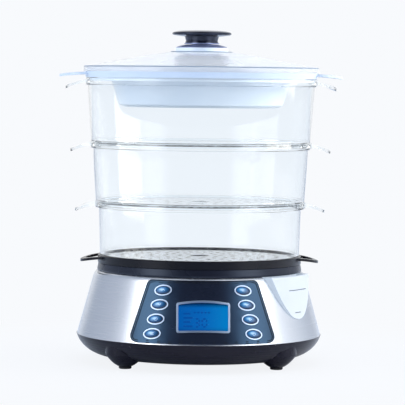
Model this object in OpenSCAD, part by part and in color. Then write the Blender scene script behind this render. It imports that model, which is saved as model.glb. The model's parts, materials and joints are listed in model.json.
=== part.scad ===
// Three-tier electric food steamer: powered base with a control panel and a water tank,
// drip tray, three nesting clear baskets with drop-in floors, rice bowl and clear lid.
// Z is up, the control panel faces -Y, and the origin is under the middle of the base.

/* [Base] */
// Largest radius of the base, at the top of the black skirt
base_r = 146.8; // [144:0.2:150]
// Height of the black skirt above the table
skirt_h = 34; // [32:0.5:36]
// Space between the table and the underside of the base
foot_gap = 8; // [7:0.5:9]
// How far inside the skirt's edge the flat underside starts to curve up
under_in = 38.8; // [36:0.2:41]
// Wall of the moulded skirt
skirt_t = 2.6; // [2.2:0.1:3]
// Height of the steel shell
shell_h = 76; // [74:0.5:80]
// How far the steel shell draws in from the skirt's edge to its own top edge
shell_in = 25.3; // [24:0.1:27]
// Rounding of the steel shell below its top edge
shoulder_r = 9; // [7:0.5:11]
// Thickness of the steel sheet
shell_t = 0.8; // [0.6:0.1:1]
// Height of the dark ring on top of the shell
collar_h = 9.4; // [9:0.2:11]

/* [Feet] */
// How far each foot lies inside the skirt's edge
foot_in = 26; // [24:0.5:30]
// Angle of each foot from the front or the back
foot_angle = 47.2; // [42:0.2:52]
// Width of the flare above each foot where it meets the skirt
foot_boss_d = 47; // [40:1:48]
// Width of the rubber pad
foot_pad_d = 15; // [12:0.5:17]
// Thickness of the rubber pad
foot_pad_h = 3.4; // [2.8:0.2:4]

/* [Control panel] */
// Half width of the panel at its top edge
panel_top_w = 63.2; // [60:0.2:64]
// Half width of the panel at its bottom edge
panel_bottom_w = 86.2; // [84:0.2:87]
// Height of the panel
panel_h = 71.7; // [70:0.1:72]
// Gap from the panel to the bottom edge of the steel
panel_lift = 1.6; // [1:0.1:2]
// Corner radius of the panel
panel_corner = 7; // [5:0.5:8]
// How far the panel stands out of the steel
panel_proud = 1.3; // [1:0.1:1.6]
// Width of the silver frame round the display
lcd_w = 61.8; // [58:0.2:63]
// Height of the silver frame round the display
lcd_h = 35; // [33:0.2:36]
// How far the display's top edge rises to its middle, before it is rounded
lcd_arch = 3.5; // [2.5:0.1:4]
// Width of the silver frame's bar
lcd_bar = 2.1; // [1.6:0.1:2.6]
// How deep the display window lies behind the panel
lcd_recess = 8; // [7.6:0.1:9]
// Half width of a button's silver rim
rim_w = 10; // [9.4:0.1:10.4]
// Half height of a button's silver rim
rim_h = 6.4; // [6:0.1:6.6]
// Width of a button's silver rim
rim_bar = 1.3; // [1.1:0.1:1.6]
// Distance between two buttons of a column
button_pitch = 16.7; // [16:0.1:17]
// Distance of the top buttons from the middle
button_at = 46.1; // [45:0.1:46.5]
// How much further out each lower button lies
button_step = 4.2; // [3.8:0.1:4.3]
// Travel of a button
button_travel = 0.8; // [0.5:0.1:1]

/* [Water tank] */
// How far the tank's wall lies inside the wall of its throat
tank_in = 17; // [16:0.5:20]
// Depth of the tank, from its floor to its shoulder
tank_h = 57; // [55:0.5:59]
// Wall of the tank
tank_t = 2.4; // [2:0.1:2.8]
// Radius of the heating plate's flange
heater_r = 51.5; // [50:0.5:52]
// Radius of the loose ring round the heating plate
steam_ring_r = 56; // [55:0.5:60]
// Height of the loose ring round the heating plate
steam_ring_h = 36; // [30:1:40]

/* [Water inlet] */
// Angle of the inlet from the front, towards the right
inlet_angle = 55; // [54:0.5:58]
// Half width of the inlet at its mouth
inlet_w = 42.5; // [40:0.5:44]
// Height of the inlet
inlet_h = 50; // [46:0.5:51]
// Wall of the inlet
inlet_t = 2; // [1.6:0.1:2.4]
// How far the inlet's mouth stands out of the shell's top edge
inlet_out = 12.5; // [11:0.1:14]

/* [Drip tray] */
// How far the drip tray stands out past the shell's top edge
tray_out = 0.5; // [0.1:0.1:1.5]
// Height of the tray's rim
tray_rim_h = 9.6; // [9:0.2:10.4]
// Radius of the steam hole in the tray
chimney_r = 34; // [30:0.5:38]
// Wall of the tray
tray_t = 2.4; // [2:0.1:2.6]

/* [Baskets] */
// Wall of the clear baskets
basket_t = 2.2; // [1.8:0.1:2.4]
// Height of the lower basket
lower_h = 65; // [55:1:75]
// How far the lower basket lies inside the tray's edge
lower_in = 2.6; // [2.2:0.1:3]
// Height of the middle basket
middle_h = 71; // [60:1:80]
// How much wider the middle basket is than the lower one
middle_step = 5.6; // [5.2:0.1:6.6]
// Height of the upper basket
upper_h = 75; // [70:1:85]
// How much wider the upper basket is than the middle one
upper_step = 6.4; // [6:0.1:7]
// How much wider the upper basket's rim is than its foot
upper_flare = 6.8; // [6.2:0.1:7]
// Height of the rim on each basket
rim_band = 9; // [8:0.5:10]
// Height of the foot that drops into the rim below
nest_h = 6; // [5:0.5:6.5]
// Diameter of the steam holes in the floors
floor_hole_d = 5.5; // [4:0.5:7]
// Distance between the rings of steam holes
floor_pitch = 17; // [16:0.5:20]

/* [Handles] */
// Half width of a handle loop where it meets the rim
handle_w = 35; // [32:0.5:36]
// Width of the bar of a loop
handle_bar = 7; // [6:0.5:8]
// Thickness of a loop
handle_t = 3.6; // [3:0.2:4]
// How far a loop curves down to its tip
handle_drop = 8.5; // [6:0.5:10]
// How far the tips of the basket loops stand out of the rim
handle_out = 24.2; // [22:0.1:26]
// How far the tips of the tray's loops stand out of the tray
tray_loop_out = 21; // [19:0.5:23]
// How far the tray's loops curve down to their tips
tray_loop_drop = 5; // [3:0.5:7]
// How far the tips of the rice bowl's ears stand out past the lid
ear_out = 28.8; // [26:0.1:30]

/* [Rice bowl] */
// How far the bowl's wall lies inside the upper basket's rim
bowl_in = 30.2; // [28:0.2:34]
// How much the bowl narrows from its flange to its floor
bowl_taper = 9.5; // [8:0.5:14]
// Depth of the bowl below the flange
bowl_depth = 33; // [30:0.5:36]
// Height of the bowl's outer band
bowl_band_h = 7; // [6:0.5:8]
// Wall of the bowl
bowl_t = 2.2; // [1.8:0.1:2.4]

/* [Lid] */
// How far the lid stands out past the upper basket's rim
lid_out = 3; // [2.4:0.1:3.6]
// Height of the lid's upright edge
lid_edge_h = 6; // [5:0.5:7]
// Rise of the lid from its edge to its hub
lid_rise = 18; // [16:0.5:21]
// Height of the hub over the lid's dome
hub_h = 6; // [5:0.2:7]
// Wall of the lid
lid_t = 2.2; // [1.8:0.1:2.6]
// Radius of the knob's disc
knob_r = 35.6; // [32:0.2:38]
// Radius of the knob's neck
knob_neck_r = 20; // [18:0.5:22]
// Height of the knob
knob_h = 15.6; // [14:0.2:17]
// Angle of the first group of steam slots from the front
vent_angle = 15; // [0:1:40]

/* [Hidden] */
$fn = 96;

// Clearances
gap = 0.1; // between pieces of one assembly
slip = 0.4; // between pieces that nest by hand
tiny = 0.01; // keeps cut faces apart

// Heights of the stack
shell_top = skirt_h + shell_h;
collar_top = shell_top + collar_h;
tray_top = collar_top + tray_rim_h;
lower_top = tray_top + lower_h;
middle_top = lower_top + middle_h;
upper_top = middle_top + upper_h;
band_top = upper_top + bowl_band_h;
edge_top = band_top + lid_edge_h;
dome_top = edge_top + lid_rise;
hub_top = dome_top + hub_h;

// Radii, from the skirt's edge inwards and up the stack
under_r = base_r - under_in;
foot_at = base_r - foot_in;
shell_top_r = base_r - shell_in;
throat_r = shell_top_r - 9.5;
tank_r = throat_r - tank_in;
inlet_mouth_r = shell_top_r + inlet_out;
tray_r = shell_top_r + tray_out;
lower_r = tray_r - lower_in;
middle_r = lower_r + middle_step;
upper_r = middle_r + upper_step;
upper_rim_r = upper_r + upper_flare;
lid_r = upper_rim_r + lid_out;
bowl_r = upper_rim_r - bowl_in;
bowl_floor_r = bowl_r - bowl_taper;

// Steel shell: a cone tangent to the rounded shoulder under its top edge
shell_edge_r = base_r - 0.6;
shoulder_end = 68;
shoulder_steps = 5;
shoulder_c = [shell_top_r - shoulder_r * cos(shoulder_end), shell_top - shoulder_r * sin(shoulder_end)];
shell_foot = [shell_edge_r, skirt_h] - shoulder_c;
tilt = atan2(shell_foot[1], shell_foot[0]) + acos(shoulder_r / norm(shell_foot));

// Tank
tank_shoulder = shell_top - 7;
tank_floor = tank_shoulder - tank_h;
tank_out = tank_r + tank_t;
tank_lip_r = throat_r + tank_t + 3.2;
tank_lip_z = collar_top - 4.4;
tank_fillet = 4;
heater_hole_r = heater_r - 7.5;
heater_core_r = heater_hole_r - 0.6;
gasket_t = 1.6;
flange_z = tank_floor + tank_t + gasket_t;
flange_t = 4.4;
core_z = tank_floor - 2;
clamp_t = 1.6;
clamp_r = heater_r + 4.5;
clamp_screw_at = heater_r - 4.5;
element_r = heater_r - 19.5;
element_tube = 4;
element_z = core_z - 2;
element_gap = 40;
thermostat_r = 8.2;
thermostat_ring = 2.2;

// Skirt and bottom cover
cover_r = under_r - 24;
cover_t = 2.4;
floor_top = foot_gap + skirt_t;
seat_r = cover_r - 8;
cover_screw_at = cover_r - 4;
cover_screw_r = 1.4;
post_at = cover_r + 6;
post_r = 4.5;
post_top = floor_top + 19.4;
post_angle = 25;
post_screw_r = 1.7;
upstand_h = 4;
flare_h = 13.8;
flare_t = 3;
skirt_flat = 0.5; // where the skirt's underside begins to rise, as a share of its curve
skirt_lift = 0.45; // how low the curve's shoulder hangs, as a share of its height

// Electronics
power_w = 60;
power_l = 32;
power_y = cover_r - 32;
pcb_t = 1.6;
power_z = floor_top + 5.4;
power_screw = [25, 12];
board_z = -25;
board_size = [130, 63];
board_y = 3;
board_posts = [[-24, 28], [24, 28], [-38, -24.5], [38, -24.5]];
tact_h = 3.5;
plunger_h = 0.8;

// Panel
panel_bottom = skirt_h + panel_lift;
panel_top = panel_bottom + panel_h;
panel_slope = (panel_bottom_w - panel_top_w) / panel_h;
panel_z = skirt_h + 36.6;
panel_lap = 4;
panel_back = -1.8;
trim_proud = 0.6;
trim_back = -0.4;
lcd_y = -5.1;
lcd_corner = 2.5;
lcd_arch_r = 200;
lcd_glass_t = 1.2;
button_mid = 2.85;
cap_gap = 0.4;
cap_proud = 0.9;
cap_flange = 1.1;
cap_flange_t = 1.2;
oval_steps = 32;

// Inlet
inlet_top = shell_top - 0.5;
inlet_back_r = throat_r + tank_t + 2.6;
inlet_foot_r = inlet_mouth_r + 7;
inlet_round = 0.45; // fuller towards 0, more pointed towards 1
inlet_widen = 1.6; // how much its sides still part above the mouth
port_z = inlet_top - inlet_h + 7.5;
port_r = 7.8;
spout_r = 6;
spout_bore_r = 4.5;

// Cord gland
gland_z = foot_gap + 14;
gland_face = base_r - 4.8;
gland_r = 5.8;
gland_bore = 3.6;

// Tray, baskets, bowl and lid
tray_seat_r = lower_r - 2.1;
tray_well_r = throat_r - 0.6;
tray_floor = tank_shoulder + tank_t + 0.6;
ledge = 5;
floor_t = 2;
clip_w = 6;
clip_h = 7;
peg_r = 1.6;
finger_hole_r = 11;
bowl_foot_h = 1.6;
lid_plug_h = 3.5;
cap_r = 31;
hub_under = hub_top - 3.8;
cap_rise = 4;
retainer_r = 33;
retainer_h = 7.2;
retainer_bulge = 3.5;
knob_screw_r = 2.4;
washer_t = 1;
knob_z = hub_top + cap_rise + washer_t;

// ---------------------------------------------------------------- helpers
function arc_pts(c, r, a0, a1, n) = [for (i = [0 : n]) let (a = a0 + (a1 - a0) * i / n)
    c + r * [cos(a), sin(a)]];
function ellipse_arc(c, a, b, a0, a1, n) = [for (i = [0 : n]) let (t = a0 + (a1 - a0) * i / n)
    c + [a * cos(t), b * sin(t)]];
function bezier(p0, p1, p2, p3, n) = [for (i = [0 : n]) let (s = i / n, q = 1 - s)
    p0 * q * q * q + p1 * 3 * q * q * s + p2 * 3 * q * s * s + p3 * s * s * s];

// Skirt's curve from its flat underside (inner, low) up to its top edge (outer, high)
function skirt_curve(inner, low, outer, high) = bezier([inner, low],
    [inner + (outer - inner) * skirt_flat, low],
    [inner + (outer - inner) * 0.9, low + (high - low) * skirt_lift], [outer, high], 12);
// Outline of a foot's flare, from the pad up into the skirt, drawn in by t and raised by up
function flare_pts(t, up) = let (r0 = foot_pad_d / 2 + 1.5 - t / 2, r1 = foot_boss_d / 2 - t,
    z = foot_pad_h + up, h = flare_h, top = foot_pad_h + flare_h + 12 - t)
    concat([[0, z]], bezier([r0, z], [r0 + (r1 - r0) * 0.38, z + h * 0.2],
        [r0 + (r1 - r0) * 0.72, z + h * 0.59], [r1, z + h], 6), [[r1, top], [0, top]]);
function oval_pts(a, b) = [for (i = [0 : oval_steps - 1]) let (t = 360 * i / oval_steps)
    [a * cos(t), b * sin(t)]];
function reverse(v) = [for (i = [len(v) - 1 : -1 : 0]) v[i]];
function unit(v) = v / norm(v);

// One rounded corner of an outline, as an arc tangent to both edges
function corner(p0, p, p1, r, n = 5) = let (
    u = unit(p0 - p), v = unit(p1 - p), h = acos(u * v) / 2,
    c = p + unit(u + v) * r / sin(h),
    t = p + u * r / tan(h) - c,
    turn = (u[0] * v[1] - u[1] * v[0] > 0 ? -1 : 1) * (180 - 2 * h),
    a0 = atan2(t[1], t[0]))
    [for (i = [0 : n]) c + r * [cos(a0 + turn * i / n), sin(a0 + turn * i / n)]];
function rounded(pts, r) = [for (i = [0 : len(pts) - 1])
    each corner(pts[(i + len(pts) - 1) % len(pts)], pts[i], pts[(i + 1) % len(pts)], r)];
function rect(w, h) = [[-w, -h] / 2, [w, -h] / 2, [w, h] / 2, [-w, h] / 2];

// Radius of the steel shell's cone at a height, moved outwards by off
function shell_rad(z, off = 0) = shell_edge_r - (z - skirt_h) * tan(tilt) + off / cos(tilt);
function shell_line(off) = concat([[shell_rad(skirt_h, off), skirt_h]],
    arc_pts(shoulder_c, shoulder_r + off, tilt, shoulder_end, shoulder_steps));

module turned(pts) rotate_extrude() polygon(pts);
module tube(r, bore, h) difference() {
    cylinder(r = r, h = h);
    translate([0, 0, -1]) cylinder(r = bore, h = h + 2);
}
module ring_of(n, r, start = 0) for (i = [0 : n - 1]) rotate([0, 0, start + 360 * i / n])
    translate([r, 0, 0]) children();

// The solid inside the steel shell's face, moved outwards by off
module shell_body(off) turned(concat([[0, skirt_h]], shell_line(off),
    [[0, shoulder_c[1] + (shoulder_r + off) * sin(shoulder_end)]]));

// Places things square to the control panel: x right, y up the slope, z outwards
module on_panel(at = [0, 0, 0]) translate([0, -shell_rad(panel_z), panel_z])
    rotate([90 - tilt, 0, 0]) translate(at) children();

// Extrudes an upright outline from the middle of the base towards an angle from the front
module toward(angle, from = 0, to = 170) rotate([0, 0, angle]) rotate([90, 0, 0])
    translate([0, 0, from]) linear_extrude(to - from) children();

// Pan head screw, head at the bottom, shank upwards
module screw(r, length, head_r, head_h) difference() {
    union() {
        translate([0, 0, -head_h]) cylinder(r = head_r, h = head_h);
        cylinder(r = r, h = length);
    }
    for (a = [0, 90]) rotate([0, 0, a])
        translate([-head_r * 0.6, -head_r * 0.1, -head_h - 1]) cube([head_r * 1.2, head_r * 0.2, 1.6]);
}

// ---------------------------------------------------------------- base
module at_feet() for (a = [90 - foot_angle, 90 + foot_angle, 270 - foot_angle, 270 + foot_angle])
    rotate([0, 0, a]) translate([foot_at, 0, 0]) children();
module at_posts() ring_of(4, post_at, post_angle) children();
module at_cover_screws() ring_of(4, cover_screw_at) children();

module foot_pads() color("#101014") at_feet() {
    turned([[0, 0], [foot_pad_d / 2 - 0.8, 0], [foot_pad_d / 2, 0.8], [foot_pad_d / 2, foot_pad_h],
        [foot_pad_d * 0.3, foot_pad_h], [foot_pad_d * 0.3, foot_pad_h + 2.4], [0, foot_pad_h + 2.4]]);
}

module bottom_cover() color("#1a1a22") difference() {
    union() {
        translate([0, 0, foot_gap + 0.2]) cylinder(r = cover_r, h = cover_t);
        translate([0, power_y, floor_top]) for (x = [-1, 1], y = [-1, 1])
            translate([x * power_screw[0], y * power_screw[1], -tiny])
                cylinder(r = 3, h = power_z - floor_top + tiny);
    }
    at_cover_screws() cylinder(r = cover_screw_r + 0.3, h = 50);
    translate([0, power_y, floor_top]) for (x = [-1, 1], y = [-1, 1])
        translate([x * power_screw[0], y * power_screw[1], 0]) cylinder(r = 1.2, h = 20);
    // cooling slots on both sides of the middle
    for (side = [-1, 1], i = [-5 : 5]) translate([i * 8 - 2, side * (cover_r - 59) - 9, 0])
        cube([4, 18, 40]);
}

module cover_screws() color("#8c8f94") at_cover_screws()
    translate([0, 0, foot_gap + 0.2]) screw(cover_screw_r, 12, 3, 1.8);

module lower_housing() color("#1e1e2a") difference() {
    union() {
        difference() {
            union() {
                turned(concat([[0, foot_gap]], skirt_curve(under_r, foot_gap, base_r, skirt_h),
                    [[shell_rad(skirt_h, -shell_t) - 0.4, skirt_h],
                     [shell_rad(skirt_h, -shell_t) - 0.4 - upstand_h * tan(tilt), skirt_h + upstand_h],
                     [0, skirt_h + upstand_h]]));
                // flares over the rubber pads
                intersection() {
                    at_feet() turned(flare_pts(0, 0));
                    cylinder(r = base_r - 0.6, h = skirt_h);
                }
            }
            turned(concat([[0, floor_top]], skirt_curve(under_r, floor_top, base_r - 5.2, skirt_h),
                [[base_r - 5.2, skirt_h + upstand_h + 1], [0, skirt_h + upstand_h + 1]]));
            intersection() {
                at_feet() turned(flare_pts(flare_t, 4.8));
                cylinder(r = base_r - 0.6 - flare_t, h = skirt_h);
            }
        }
        // seat of the bottom cover
        translate([0, 0, floor_top - tiny]) tube(cover_r + 2.9, seat_r, 2.6 + tiny);
        at_posts() translate([0, 0, foot_gap + 1]) cylinder(r = post_r, h = post_top - foot_gap - 1);
        at_cover_screws() translate([0, 0, floor_top + 1]) cylinder(r = 4, h = 11);
        // flat-faced boss for the cord gland
        intersection() {
            toward(180, base_r - 26, gland_face) translate([0, gland_z]) circle(r = gland_r + 4.2);
            translate([0, 0, foot_gap]) cylinder(r = base_r, h = skirt_h);
        }
    }
    cylinder(r = cover_r + 0.3, h = floor_top);
    at_feet() translate([0, 0, -1]) cylinder(r = foot_pad_d * 0.3 + gap, h = foot_pad_h + 4);
    at_posts() {
        cylinder(r = post_screw_r + 0.4, h = 60);
        cylinder(r = 4.2, h = foot_gap + 4);
    }
    at_cover_screws() translate([0, 0, foot_gap]) cylinder(r = cover_screw_r + gap, h = 13);
    toward(180, base_r - 30, base_r + 5) translate([0, gland_z]) circle(r = gland_r + gap);
    toward(180, base_r - 30, gland_face - 4) translate([0, gland_z]) circle(r = gland_r + 2);
    toward(180, gland_face, base_r + 5) translate([0, gland_z]) circle(r = gland_r + 2.4);
}

module tank_screws() color("#8c8f94") at_posts() translate([0, 0, foot_gap + 4])
    screw(post_screw_r, 28, 3.6, 2.4);

// Half of the inlet's outline at a share of its height below the mouth
function inlet_side(side, off, k) = [for (i = k) let (t = 1 - pow(1 - i / 12, 2))
    [side * (inlet_w + off) * pow(1 - t, inlet_round), inlet_top - (inlet_h + off) * t]];
module inlet_outline(off = 0) polygon(concat(
    inlet_side(-1, off, [1 : 12]), inlet_side(1, off, [11 : -1 : 1]),
    [[inlet_w + inlet_widen + off, inlet_top + 4], [-inlet_w - inlet_widen - off, inlet_top + 4]]));

// Outline of the panel, drawn in on all sides by inset
function panel_pts(inset = 0) = let (
    side = inset * sqrt(1 + panel_slope * panel_slope),
    top_z = panel_top - inset, low_z = panel_bottom + inset,
    top_w = panel_top_w + inset * panel_slope - side, low_w = panel_bottom_w - inset * panel_slope - side)
    rounded([[-low_w, low_z], [low_w, low_z], [top_w, top_z], [-top_w, top_z]], panel_corner);

module steel_shell() color("#c4c7cc") difference() {
    turned(concat(shell_line(0), reverse(shell_line(-shell_t))));
    toward(0) polygon(panel_pts(panel_lap - 0.3));
    toward(inlet_angle) inlet_outline(0.3);
}

module top_collar() color("#323846") turned([
    [throat_r + tank_t + slip, shell_top], [shell_top_r + 0.9, shell_top],
    [shell_top_r + 1.1, shell_top + 1.6], [shell_top_r - 0.2, collar_top - 0.6],
    [shell_top_r - 0.8, collar_top], [tank_lip_r + slip, collar_top],
    [tank_lip_r + slip, tank_lip_z], [throat_r + tank_t + slip, tank_lip_z]]);

module water_tank() color("#23242c") difference() {
    union() {
        turned(concat(
            [[heater_hole_r, tank_floor], [tank_out, tank_floor], [tank_out, tank_shoulder],
             [tank_r, tank_shoulder]],
            arc_pts([tank_r - tank_fillet, tank_floor + tank_t + tank_fillet], tank_fillet, 0, -90, 4),
            [[heater_hole_r, tank_floor + tank_t]]));
        at_posts() translate([0, 0, post_top]) cylinder(r = post_r, h = tank_floor - post_top + 1);
    }
    at_posts() translate([0, 0, post_top - 1]) cylinder(r = post_screw_r + gap, h = 15);
    ring_of(3, clamp_screw_at, 30) translate([0, 0, tank_floor - 1]) cylinder(r = 1.7, h = 20);
    toward(inlet_angle, tank_r - 6, tank_out + 4) translate([0, port_z]) circle(r = port_r);
}

// The wider ring on the tank's edge, which the drip tray drops into
module tank_throat() color("#23242c") turned([
    [tank_r, tank_shoulder], [tank_out + gap, tank_shoulder], [tank_out + gap, tank_shoulder - 4],
    [tank_out + gap + 1.6, tank_shoulder - 4], [tank_out + gap + 1.6, tank_shoulder],
    [throat_r + tank_t, tank_shoulder], [throat_r + tank_t, tank_lip_z], [tank_lip_r, tank_lip_z],
    [tank_lip_r, tank_lip_z + tank_t], [throat_r, tank_lip_z + tank_t],
    [throat_r, tank_shoulder + tank_t], [tank_r, tank_shoulder + tank_t]]);

module heater_gasket() color("#b8452e") difference() {
    translate([0, 0, tank_floor + tank_t]) tube(heater_r - 0.5, heater_hole_r, gasket_t);
    ring_of(3, clamp_screw_at, 30) translate([0, 0, tank_floor]) cylinder(r = 1.7, h = 20);
}

module heater_plate() color("#a9abae") difference() {
    union() {
        turned([[0, core_z], [heater_core_r, core_z], [heater_core_r, flange_z], [heater_r, flange_z],
            [heater_r, flange_z + flange_t - 1.4], [heater_r - 1.4, flange_z + flange_t],
            [heater_r - 11, flange_z + flange_t], [heater_r - 14, flange_z + flange_t - 1.2],
            [0, flange_z + flange_t - 1.2]]);
        translate([0, 0, core_z - 6]) tube(thermostat_r + thermostat_ring, thermostat_r + gap, 6 + tiny);
    }
    translate([0, 0, element_z]) rotate_extrude() translate([element_r, 0]) circle(r = element_tube + 0.2);
    ring_of(3, clamp_screw_at, 30) translate([0, 0, core_z]) cylinder(r = 1.5, h = flange_z - core_z + 3);
}

module heater_element() color("#7d7f83") {
    translate([0, 0, element_z]) rotate([0, 0, 90 + element_gap / 2])
        rotate_extrude(angle = 360 - element_gap) translate([element_r, 0]) circle(r = element_tube);
    for (side = [-1, 1]) rotate([0, 0, 90 + side * element_gap / 2]) translate([element_r, 0, 0]) {
        translate([0, 0, element_z - 9]) cylinder(r = element_tube + 0.4, h = 9 + core_z - element_z - 0.2);
        translate([0, 0, element_z - 14]) cylinder(r = 1.5, h = 6);
        translate([-0.4, -3.1, element_z - 22]) cube([0.8, 6.2, 9]);
    }
}

module heater_clamp() color("#b4b6ba") difference() {
    translate([0, 0, tank_floor - clamp_t]) tube(clamp_r, heater_hole_r + 0.2, clamp_t);
    ring_of(3, clamp_screw_at, 30) translate([0, 0, tank_floor - 5]) cylinder(r = 1.7, h = 20);
    ring_of(3, clamp_r + 1, 90) translate([0, 0, tank_floor - 5]) cylinder(r = 5, h = 20);
}

module clamp_screws() color("#8c8f94") ring_of(3, clamp_screw_at, 30)
    translate([0, 0, tank_floor - clamp_t]) screw(1.4, flange_z + 2.6 - tank_floor + clamp_t, 2.8, 2);

module thermostat() color("#c9b89a") {
    translate([0, 0, core_z - 8]) cylinder(r = thermostat_r, h = 8 - gap);
    for (side = [-1, 1]) translate([side * 4 - 0.4, -3.1, core_z - 16]) cube([0.8, 6.2, 8 + tiny]);
}

module thermal_fuse() color("#d8d2c4") translate([0, -20, core_z - 2.1]) rotate([0, 90, 0]) {
    translate([0, 0, -7]) cylinder(r = 2, h = 14);
    translate([0, 0, -16]) cylinder(r = 0.6, h = 32);
}

module cord_gland() color("#15151a") toward_gland() turned([
    [gland_bore, -10], [gland_r + 1.6, -10], [gland_r + 1.6, -8], [gland_r, -7.4], [gland_r, 0],
    [gland_r + 2, 0], [gland_r + 2, 1.8], [gland_bore + 1.6, base_r - gland_face - 0.4],
    [gland_bore, base_r - gland_face - 0.4]]);
module toward_gland() rotate([0, 0, 180]) rotate([90, 0, 0]) translate([0, gland_z, gland_face])
    children();

// ---------------------------------------------------------------- water inlet
module inlet_solid(off, back) intersection() {
    toward(inlet_angle) inlet_outline(off);
    turned([[back, inlet_top - inlet_h - 6], [inlet_foot_r + off, inlet_top - inlet_h - 6],
        [inlet_mouth_r + off, inlet_top + 3], [back, inlet_top + 3]]);
}

module water_inlet() color("#dceaf6", 0.75) difference() {
    union() {
        inlet_solid(0, inlet_back_r);
        toward(inlet_angle, tank_r - 3, inlet_back_r + 1) translate([0, port_z]) circle(r = spout_r);
    }
    inlet_solid(-inlet_t, inlet_back_r + inlet_t);
    toward(inlet_angle, tank_r - 5, inlet_back_r + inlet_t + 1) translate([0, port_z])
        circle(r = spout_bore_r);
    translate([0, 0, inlet_top]) cylinder(r = inlet_foot_r + 20, h = 20);
}

module inlet_seal() color("#c8ccd2") rotate([0, 0, inlet_angle]) rotate([90, 0, 0])
    translate([0, port_z, 0]) turned([
        [spout_r + gap, tank_r - 2.2], [port_r + 1.7, tank_r - 2.2], [port_r + 1.7, tank_r - 0.7],
        [port_r - 0.2, tank_r - 0.7], [port_r - 0.2, tank_out + 0.3], [port_r + 1.7, tank_out + 0.3],
        [port_r + 1.7, tank_out + 1.8], [spout_r + gap, tank_out + 1.8]]);

// ---------------------------------------------------------------- control panel
function button_xy(i) = let (row = i % 4, side = i < 4 ? -1 : 1)
    [side * (button_at + row * button_step), button_mid + (1.5 - row) * button_pitch];

module oval_bar(i, a, b) let (p = button_xy(i)) on_panel([p[0], p[1], -24])
    linear_extrude(40) polygon(oval_pts(a, b));

// What lies between two offsets of the shell's face
module skin(inner, outer) difference() {
    intersection() {
        children();
        shell_body(outer);
    }
    shell_body(inner);
}

// Outline of the display's pieces: rounded corners and a slightly arched top edge
function lcd_pts(w, h, r) = let (
    a = [-w, -h] / 2, b = [w, -h] / 2, c = [w, h] / 2, top = [0, h / 2 + lcd_arch], d = [-w, h] / 2)
    concat(corner(d, a, b, r), corner(a, b, c, r), corner(b, c, top, r),
        corner(c, top, d, lcd_arch_r, 8), corner(top, d, a, r));

module lcd_bar_of(w, h, r, depth = 40) on_panel([0, lcd_y, -24]) linear_extrude(depth)
    polygon(lcd_pts(w, h, r));

module control_fascia() color("#2a3344") difference() {
    union() {
        skin(gap, panel_proud) toward(0, 90) polygon(panel_pts());
        skin(panel_back, 0.6) toward(0, 90) polygon(panel_pts(panel_lap));
        intersection() {
            shell_body(-1);
            union() {
                on_panel([0, lcd_y, -lcd_recess]) linear_extrude(30)
                    polygon(lcd_pts(lcd_w - 1, lcd_h - 1, lcd_corner));
                for (p = board_posts) on_panel([p[0], p[1], board_z]) cylinder(r = 2.6, h = 30);
            }
        }
    }
    on_panel([0, lcd_y, -lcd_recess - 10]) linear_extrude(50)
        polygon(lcd_pts(lcd_w - 2 * lcd_bar, lcd_h - 2 * lcd_bar, lcd_corner - 1));
    skin(trim_back, 9) lcd_bar_of(lcd_w + 2 * gap, lcd_h + 2 * gap, lcd_corner);
    for (i = [0 : 7]) {
        skin(trim_back, 9) oval_bar(i, rim_w + gap, rim_h + gap);
        oval_bar(i, rim_w - rim_bar, rim_h - rim_bar);
    }
    for (p = board_posts) on_panel([p[0], p[1], board_z - 1]) cylinder(r = 1, h = 11);
}

module lcd_frame() color("#c9ccd0") difference() {
    skin(trim_back + gap, panel_proud + trim_proud) lcd_bar_of(lcd_w, lcd_h, lcd_corner);
    lcd_bar_of(lcd_w - 2 * lcd_bar, lcd_h - 2 * lcd_bar, lcd_corner - 1, 60);
}

module lcd_window() color("#9fc4e8", 0.4) on_panel([0, lcd_y, -lcd_recess - lcd_glass_t])
    linear_extrude(lcd_glass_t) polygon(lcd_pts(lcd_w, lcd_h, 1.5));

module lcd_module() color("#0a78c0") on_panel([0, lcd_y, board_z + 9])
    linear_extrude(-lcd_recess - lcd_glass_t - gap - board_z - 9)
        polygon(lcd_pts(lcd_w - 1, lcd_h - 1, 1));

module lcd_holder() color("#e6e8ea") on_panel([0, lcd_y, board_z]) linear_extrude(9) difference() {
    polygon(rect(lcd_w + 1, lcd_h + 1));
    polygon(rect(lcd_w - 8, lcd_h - 8));
}

module button_rims() color("#c9ccd0") for (i = [0 : 7]) difference() {
    skin(trim_back + gap, panel_proud + trim_proud) oval_bar(i, rim_w, rim_h);
    oval_bar(i, rim_w - rim_bar, rim_h - rim_bar);
}

module button(i) color("#1c2c4a") union() {
    cap_w = rim_w - rim_bar - cap_gap;
    cap_h = rim_h - rim_bar - cap_gap;
    behind = panel_back - 0.3;
    skin(behind - cap_flange_t, panel_proud + cap_proud) oval_bar(i, cap_w, cap_h);
    skin(behind - cap_flange_t, behind)
        oval_bar(i, cap_w + cap_gap + cap_flange, cap_h + cap_gap + cap_flange);
    p = button_xy(i);
    intersection() {
        on_panel([p[0], p[1], board_z + tact_h + plunger_h + button_travel + gap]) cylinder(r = 2, h = 20);
        shell_body(behind - 0.4);
    }
}
module button_1() button(0);
module button_2() button(1);
module button_3() button(2);
module button_4() button(3);
module button_5() button(4);
module button_6() button(5);
module button_7() button(6);
module button_8() button(7);

module control_board() color("#1f5c3a") difference() {
    on_panel([0, board_y, board_z - pcb_t]) linear_extrude(pcb_t) polygon(rect(board_size[0], board_size[1]));
    for (p = board_posts) on_panel([p[0], p[1], board_z - 5]) cylinder(r = 1.3, h = 10);
}

module tact_switches() color("#2c2c30") for (i = [0 : 7]) let (p = button_xy(i))
    on_panel([p[0], p[1], board_z]) {
        translate([-3, -3, 0]) cube([6, 6, tact_h]);
        cylinder(r = 1.7, h = tact_h + plunger_h);
    }

module board_screws() color("#8c8f94") for (p = board_posts)
    on_panel([p[0], p[1], board_z - pcb_t]) screw(0.95, 10, 2.2, 1.4);

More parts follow.
